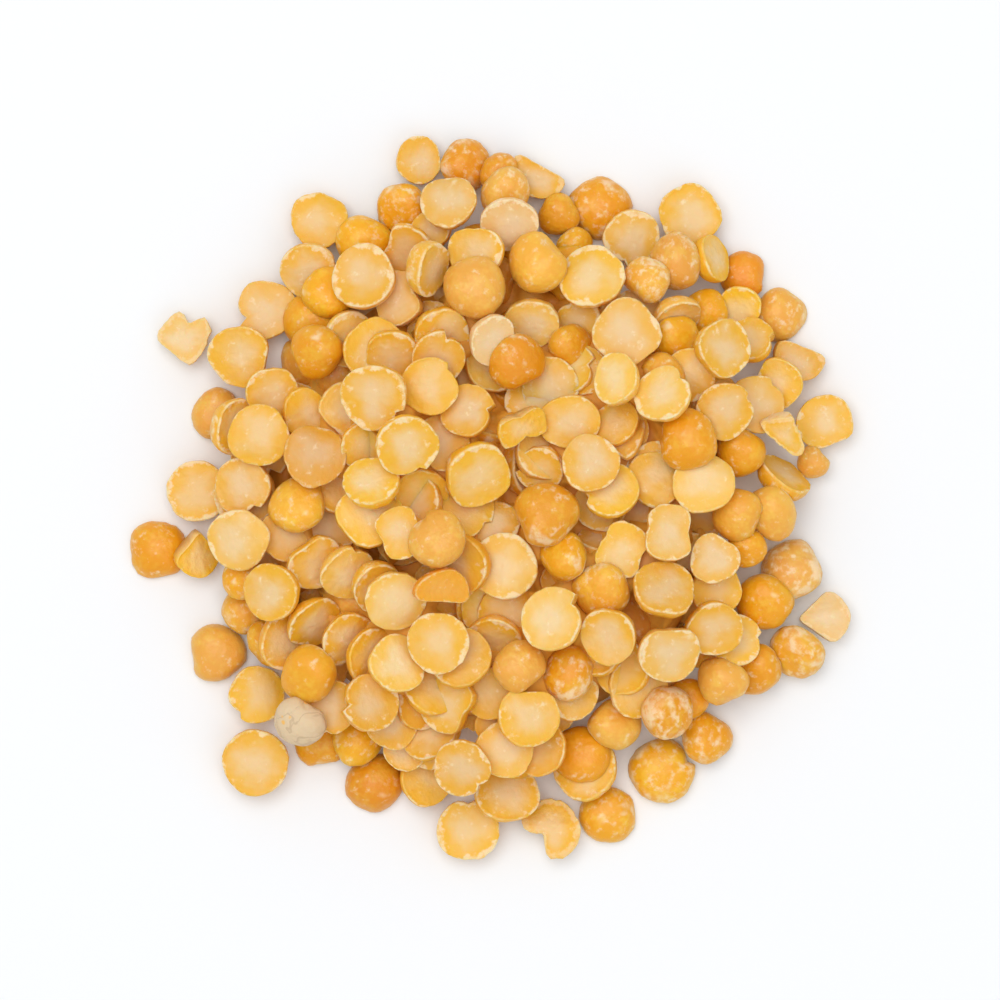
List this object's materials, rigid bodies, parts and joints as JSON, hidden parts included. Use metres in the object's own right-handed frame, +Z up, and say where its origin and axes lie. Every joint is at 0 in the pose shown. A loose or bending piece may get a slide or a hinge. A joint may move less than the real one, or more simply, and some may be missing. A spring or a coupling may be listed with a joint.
{
  "type": "heap of yellow split peas",
  "caption": "Low loose heap of dry yellow split peas lying on a flat surface, most with the flat face up, with an uneven rim of single peas and some broken ones.",
  "frame": {"origin": "on the surface that the heap lies on, under the middle of the heap as seen from above", "axes": "+Z up, +Y towards the upper edge of the picture and +X towards its right edge"},
  "size_m": [0.0808, 0.0806, 0.0178],
  "materials": {
    "split_pea": "matt to waxy, pale peach flat faces with whitish chipped rims, deeper orange-yellow domes"
  },
  "bodies": {
    "root": {"split_pea_heap": "split_pea"}
  },
  "joints": []
}
